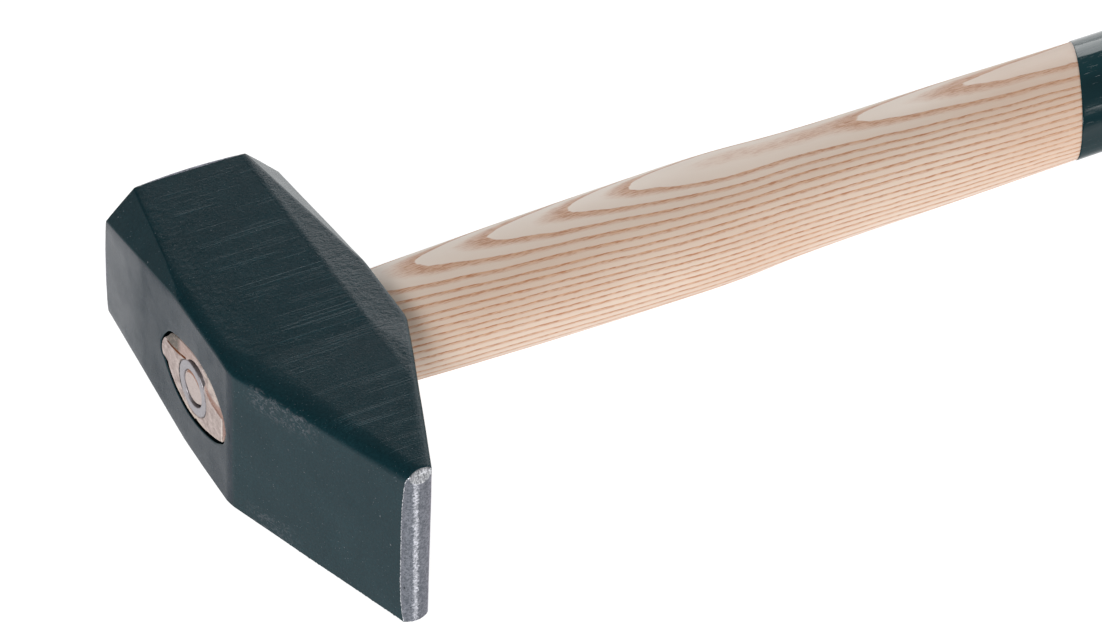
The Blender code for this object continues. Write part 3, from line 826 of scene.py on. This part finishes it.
    # grinding lines on the cheek's flat band, forged grain and relief
    band = s.times(s.step(x, -17 * MM, -11 * MM), s.step(x, 18.5 * MM, 16 * MM), cheek)
    lines = s.step(s.noise((110, 0.42, 90), 0.0), 0.60, 0.68)
    groups = s.step(s.noise((34, 4.5, 60), 1.0), 0.47, 0.58)
    ground = s.times(lines, groups, band)
    colour = s.mix(s.times(ground, 0.28), colour, PAINT_GROUND_LINE)
    grain = s.step(s.noise((0.9, 0.7, 0.8), 3.0, 0.75), 0.40, 0.60)
    colour = s.mix(s.times(grain, 0.45), colour, PAINT_GRAIN)
    pits = s.noise((0.9, 0.55, 0.8), 3.0, 0.68)
    strip = s.times(s.step(x, 15.5 * MM, 18.5 * MM), cheek)
    flank = s.times(s.minus(cheek, band), 0.20)
    rough = s.times(s.math("MAXIMUM", s.math("MAXIMUM", strip, flank), 0.17), pits)
    fine = s.noise((0.75, 0.6, 0.7), 2.0, 0.7)
    normal = s.bump(ground, 0.020)
    normal = s.bump(rough, 0.20, normal)
    normal = s.bump(fine, 0.055, normal)
    s.set(Base_Color=colour, Metallic=bare, Normal=normal,
          Roughness=s.step(bare, 0.0, 1.0, gloss, 0.38))

    # specular level: by the place on the eye's side, as a painted reflection, low elsewhere and none
    # inside the eye, as painted shade
    eye_side_reflection = s.line(s.math("DIVIDE", y, MM), EYE_SIDE_REFLECTION_LEVEL)
    eye_side_reflection = s.times(eye_side_reflection, s.step(s.noise(9, 3.0, 0.6), 0.3, 0.7, 0.75, 1.3))
    shine = s.math("MULTIPLY_ADD", cheek, 0.12, 0.14)
    gap = s.times(s.minus(eye_side_reflection, shine), eye_side)
    level = s.times(s.math("ADD", gap, shine), s.minus(1.0, wall))
    s.set(Specular_IOR_Level=level, Specular_Tint=(1.0, 0.93, 1.0, 1.0))
    return s.material


# Colours of the wood, as linear red, green and blue
WOOD_PALE, WOOD_DEEP = (0.805, 0.643, 0.525), (0.735, 0.558, 0.440)
# paler colour for the painted sheen on the handle's top
WOOD_TOP_SHEEN = (0.90, 0.78, 0.68)
WOOD_BAND = (0.68, 0.360, 0.200)
WOOD_PORE = (0.50, 0.190, 0.075)
WOOD_FIBRE = (0.86, 0.75, 0.65)
END_PALE, END_DEEP = (0.60, 0.50, 0.47), (0.34, 0.260, 0.238)
END_ABOVE = (0.43, 0.30, 0.26)
END_DARK_PATCH = (0.075, 0.066, 0.050)
END_REAR = (0.62, 0.52, 0.46)
END_LEDGE = (0.36, 0.20, 0.155)
END_TIP = (0.30, 0.165, 0.135)
END_TIP_EDGE = (0.72, 0.63, 0.58)
END_FOOT = (0.66, 0.55, 0.46)
CRACK_INNER, CRACK_OUTER = (0.27, 0.095, 0.036), (0.12, 0.05, 0.022)
CORE_DARK, CORE_LIGHT = (0.50, 0.41, 0.385), (0.62, 0.53, 0.50)
CORE_BROW = (0.30, 0.115, 0.055)
# painted shade for the gap beside the ring
RING_GAP_SHADE = (0.035, 0.030, 0.034)
# painted shade for the floor of the hollow and the crack
HOLLOW_FLOOR_SHADE = (0.085, 0.065, 0.055)
END_FIBRE = (0.20, 0.125, 0.095)
END_SPECK = (0.80, 0.71, 0.65)


def wood_material():
    s = Shader("ash_side_grain")
    across = s.vector("DOT_PRODUCT", s.place, tuple(part / MM for part in GRAIN_DIRECTION))
    across = s.math("ADD", across, s.wobble(1.5, (75, 22, 22), 1.0, 0.5))
    across = s.math("ADD", across, s.wobble(0.5, (14, 6, 6), 2.0, 0.5))
    lines = [(line, float(index)) for index, line in enumerate(RING_LINES)]
    phase = s.math("FRACT", s.line(s.minus(across, GRAIN_OFFSET), lines))

    early = s.times(s.step(phase, 0.45, 0.92), s.step(phase, 1.0, 0.97))
    pores = s.step(s.noise((3.2, 0.34, 0.34), 2.0, 0.55), 0.47, 0.60)
    fibre = s.noise((24, 0.45, 0.45), 3.0, 0.6)
    blotch = s.noise((90, 18, 18), 2.0, 0.5)
    colour = s.mix(s.step(blotch, 0.3, 0.7), WOOD_PALE, WOOD_DEEP)
    # painted sheen: the handle's upward faces are mixed towards a paler colour
    top_sheen = s.vector("DOT_PRODUCT", s.normal, (0.0, 0.5, 0.866))
    colour = s.mix(s.step(top_sheen, 0.55, 1.0, 0.0, 0.8), colour, WOOD_TOP_SHEEN)
    colour = s.mix(s.times(early, 0.85), colour, WOOD_BAND)
    marks = s.times(early, pores)
    colour = s.mix(s.times(marks, 0.85), colour, WOOD_PORE)
    warm = s.step(s.part(s.place, 0), 225 * MM, 270 * MM, 0.0, 0.22)
    colour = s.mix(warm, colour, WOOD_BAND)
    colour = s.mix(s.step(fibre, 0.35, 0.75, 0.0, 0.18), colour, WOOD_FIBRE)
    normal = s.bump(s.minus(1.0, marks), 0.06)
    normal = s.bump(fibre, 0.02, normal)
    s.set(Base_Color=colour, Normal=normal, Roughness=s.step(blotch, 0.3, 0.7, 0.40, 0.50))
    return s.material


def end_grain_material():
    s = Shader("ash_end_grain")
    x, y, z = (s.math("DIVIDE", s.part(s.place, axis), MM) for axis in (0, 1, 2))
    depth = s.math("ADD", x, HALF_DEPTH / MM)
    side = s.minus(y, RING_Y / MM)
    height = s.minus(z, RING_Z / MM)
    from_ring = s.math("SQRT", s.math("ADD", s.times(side, side), s.times(height, height)))
    cloud = s.noise((3, 3.5, 2.5), 4.0, 0.65)
    fibre = s.noise((0.5, 2.2, 0.22), 3.0, 0.65)
    speck = s.noise(0.35, 2.0, 0.6)

    colour = s.mix(s.step(cloud, 0.3, 0.7), END_PALE, END_DEEP)
    # darker wood above the crack and the ring, with a dark patch near the striking face's end
    from_crack = s.minus(z, s.line(y, CRACK))
    above = s.times(s.step(from_crack, -0.1, 0.5), s.step(y, -7.5, 5.0))
    colour = s.mix(s.times(above, 0.8), colour, END_ABOVE)
    dark_patch = s.times(above, s.step(y, 8.5, 12.0),
                     s.step(s.noise((1, 1.8, 0.6), 3.0, 0.65), 0.18, 0.52))
    colour = s.mix(s.times(dark_patch, 0.95), colour, END_DARK_PATCH)
    # the ledge and the paler wood above it
    from_ledge = s.minus(z, s.line(y, LEDGE_HIGH))
    rear = s.times(s.step(from_ledge, -0.3, 0.5), s.step(y, -6.0, -9.0), s.step(cloud, 0.62, 0.42))
    colour = s.mix(rear, colour, END_REAR)
    ledge = s.times(s.step(s.minus(z, s.line(y, LEDGE_LOW)), -0.2, 0.3),
                    s.step(from_ledge, 0.2, -0.8), s.step(y, -7.4, -8.6))
    colour = s.mix(s.times(ledge, 0.85), colour, END_LEDGE)
    # the dark tip towards the pein, with a wandering pale edge
    tip = s.step(y, -20.0, -20.7)
    colour = s.mix(s.times(tip, 0.85), colour, END_TIP)
    from_tip = s.math("ADD", s.math("ADD", y, 19.7), s.wobble(2.2, (1, 3, 1.3), 3.0, 0.7))
    tip_edge = s.times(s.step(s.math("ABSOLUTE", from_tip), 0.60, 0.15), s.step(z, 32.4, 31.4))
    colour = s.mix(tip_edge, colour, END_TIP_EDGE)
    # pale wood along the lower outline
    low_side = [point for point in WOOD_END if point[1] < 25.1]
    foot = s.times(s.step(s.minus(z, s.line(y, low_side)), 1.9, 0.7), s.step(y, 15.0, 12.5),
                   s.step(y, -12.0, 0.0, 0.35, 1.0))
    colour = s.mix(s.times(foot, 0.8), colour, END_FOOT)
    crack = s.times(s.step(s.math("ABSOLUTE", from_crack), 0.75, 0.40), s.step(y, 5.2, 6.2),
                    s.step(y, 20.0, 18.6))
    colour = s.mix(crack, colour, s.mix(s.step(y, 13.0, 17.0), CRACK_INNER, CRACK_OUTER))
    # the wood inside the ring, with a reddish brow, and painted shade: a dark band on the wood along
    # the ring's outer sides, where the gap is
    core = s.step(from_ring, 7.0, 6.6)
    colour = s.mix(core, colour, s.mix(s.step(fibre, 0.35, 0.65), CORE_DARK, CORE_LIGHT))
    brow_height = s.minus(5.3, s.times(side, side, 0.10))
    brow = s.times(s.step(s.minus(height, brow_height), -0.5, 0.0), core,
                   s.step(s.math("ABSOLUTE", side), 5.0, 3.6))
    colour = s.mix(s.times(brow, 0.9), colour, CORE_BROW)
    rim_start = RING_OUTER_RADIUS / MM + 0.3
    rim_painted_light = s.times(s.step(s.math("ABSOLUTE", height), 7.4, 5.0),
                  s.step(s.math("ABSOLUTE", side), 5.0, 7.0),
                  s.step(from_ring, rim_start + 0.3, rim_start),
                  s.step(s.noise((1, 1.5, 1.5), 2.0, 0.6), 0.25, 0.5), s.minus(1.0, core))
    colour = s.mix(rim_painted_light, colour, RING_GAP_SHADE)
    # painted shade: the wood darkens where it lies deeper than about a millimetre, in the hollow
    # beside the ring and in the crack
    colour = s.mix(s.step(depth, 0.75, 1.4), colour, HOLLOW_FLOOR_SHADE)
    colour = s.mix(s.step(fibre, 0.52, 0.68, 0.0, 0.50), colour, END_FIBRE)
    colour = s.mix(s.step(speck, 0.60, 0.70, 0.0, 0.45), colour, END_SPECK)
    normal = s.bump(fibre, 0.08)
    normal = s.bump(speck, 0.05, normal)
    s.set(Base_Color=colour, Normal=normal, Roughness=s.step(cloud, 0.3, 0.7, 0.55, 0.70))
    return s.material


def ring_material():
    s = Shader("ring_steel_satin")
    grain = s.noise((0.6, 0.6, 0.6), 3.0, 0.6)
    colour = s.mix(s.step(grain, 0.3, 0.7), (0.31, 0.292, 0.308), (0.45, 0.43, 0.455))
    s.set(Base_Color=colour, Metallic=1.0, Roughness=s.step(grain, 0.3, 0.7, 0.42, 0.55),
          Normal=s.bump(grain, 0.05))
    return s.material


def lacquer_material():
    s = Shader("grip_lacquer_gloss")
    streak = s.noise((7, 0.35, 0.35), 2.0, 0.6)
    cloud = s.noise((40, 12, 12), 2.0, 0.5)
    colour = s.mix(s.step(cloud, 0.3, 0.7), (0.0032, 0.0230, 0.0290), (0.0050, 0.0290, 0.0360))
    # painted sheen: a lighter teal on the coating's upper side, where its surface turns away from -y
    upper = s.step(s.part(s.normal, 1), -0.40, -0.10, 0.0, 0.8)
    colour = s.mix(upper, colour, (0.0055, 0.0460, 0.0560))
    marks = s.step(streak, 0.66, 0.76)
    colour = s.mix(s.times(marks, 0.25), colour, (0.10, 0.13, 0.14))
    normal = s.bump(s.minus(1.0, marks), 0.04)
    normal = s.bump(s.noise((14, 2.5, 2.5), 2.0, 0.5), 0.10, normal)
    # painted shade: the specular level falls towards the coating's underside
    s.set(Base_Color=colour, Normal=normal, Roughness=s.step(cloud, 0.3, 0.7, 0.10, 0.16),
          Specular_IOR_Level=s.step(s.part(s.normal, 2), -0.5, 0.9, 0.04, 0.60))
    return s.material


def floor_material():
    s = Shader("pale_floor")
    cloud = s.noise(400, 2.0, 0.5)
    s.set(Base_Color=s.mix(cloud, (0.28, 0.28, 0.28), (0.31, 0.31, 0.31)), Roughness=0.9,
          Emission_Color=(1.0, 1.0, 1.0, 1.0), Emission_Strength=0.93)
    return s.material


# ---------------------------------------------------------------- stage

def make_floor():
    """A plain floor just under the nose, the cheek and the butt, where the hammer lies."""
    gap = 0.05 * MM
    butt_x = HANDLE_LENGTH - HALF_DEPTH - 12 * MM
    butt_z = MID_Z - HANDLE_SHAPE[-1][2] * MM
    a = Vector((0.004, NOSE_Y, -NOSE_FLARE))
    b = Vector((0.018, STRIKING_FACE_Y, 0.0))
    c = Vector((butt_x, HANDLE_LEAN * butt_x, butt_z))
    across = (b - a).normalized()
    up = (c - a).cross(across).normalized()
    if up.z < 0:
        up.negate()
    along = across.cross(up)
    size = 9.0
    points = []
    steps = 8
    for row in range(steps + 1):
        for column in range(steps + 1):
            points.append(a - up * gap + along * size * (column / steps - 0.5)
                          + across * size * (row / steps - 0.5))
    faces = []
    for row in range(steps):
        for column in range(steps):
            first = row * (steps + 1) + column
            faces.append((first, first + 1, first + steps + 2, first + steps + 1))
    floor = mesh_object("floor", points, faces)
    floor.data.materials.append(floor_material())


def aim(item, place, target):
    item.location = place
    direction = Vector(target) - Vector(place)
    item.rotation_euler = direction.to_track_quat("-Z", "Y").to_euler()


def add_light(name, place, target, size, power):
    light = bpy.data.lights.new(name, "AREA")
    light.shape = "RECTANGLE"
    light.size, light.size_y = size
    light.energy = power
    item = bpy.data.objects.new(name, light)
    bpy.context.scene.collection.objects.link(item)
    aim(item, place, target)
    item.visible_camera = False


def make_world():
    """Pale at the horizon, and dim higher up."""
    world = bpy.data.worlds.new("studio")
    bpy.context.scene.world = world
    world.use_nodes = True
    tree = world.node_tree
    background = tree.nodes["Background"]
    coordinates = tree.nodes.new("ShaderNodeTexCoord")
    parts = tree.nodes.new("ShaderNodeSeparateXYZ")
    span = tree.nodes.new("ShaderNodeMapRange")
    span.interpolation_type = "SMOOTHSTEP"
    for name, value in (("From Min", 0.04), ("From Max", 0.30), ("To Min", 0.95), ("To Max", 0.12)):
        span.inputs[name].default_value = value
    tree.links.new(coordinates.outputs["Generated"], parts.inputs[0])
    tree.links.new(parts.outputs["Z"], span.inputs["Value"])
    tree.links.new(span.outputs[0], background.inputs["Strength"])
    background.inputs["Color"].default_value = (1.0, 1.0, 1.0, 1.0)


def make_camera():
    camera = bpy.data.cameras.new("camera")
    camera.sensor_width = 36.0
    camera.lens = 175.2
    camera.clip_end = 50.0
    item = bpy.data.objects.new("camera", camera)
    bpy.context.scene.collection.objects.link(item)
    place = Vector((-0.54359, -1.10843, 1.13133))
    right = Vector((0.88111, -0.47158, 0.03553))
    back = Vector((-0.37519, -0.65132, 0.65956))
    up = back.cross(right)
    turn = Matrix((right, up, back)).transposed()
    item.matrix_world = Matrix.Translation(place) @ turn.to_4x4()
    bpy.context.scene.camera = item


# ---------------------------------------------------------------- the whole scene

head = make_head()
head.data.materials.clear()
head.data.materials.append(paint_material())
finish_piece(head, "head_paint", "hammer_head")

wood = wood_material()
end_wood = end_grain_material()
handle = make_handle()
handle.data.materials.append(wood)
finish_piece(handle, "ash_wood", "handle")
for piece in (make_end_grain(), make_ring_core()):
    piece.data.materials.append(end_wood)
    finish_piece(piece, "ash_wood")

ring = make_ring()
ring.data.materials.append(ring_material())
finish_piece(ring, "ring_steel", "ring_wedge")

coating = make_coating()
coating.data.materials.append(lacquer_material())
finish_piece(coating, "grip_lacquer", "grip_coating")

make_floor()
make_world()
add_light("key", (-1.3, -1.4, 1.6), (0.1, 0.0, 0.0), (0.7, 0.7), 30)
add_light("front", (2.0, -1.5, 1.6), (0.1, 0.0, 0.0), (0.7, 0.7), 7)
add_light("side", (2.6, -0.5, 1.0), (0.3, 0.0, 0.0), (1.0, 1.0), 22)
add_light("back_panel", (1.5, 1.9, 0.85), (0.1, 0.0, 0.0), (2.2, 1.1), 18)
make_camera()
bpy.context.scene.view_settings.view_transform = "Standard"
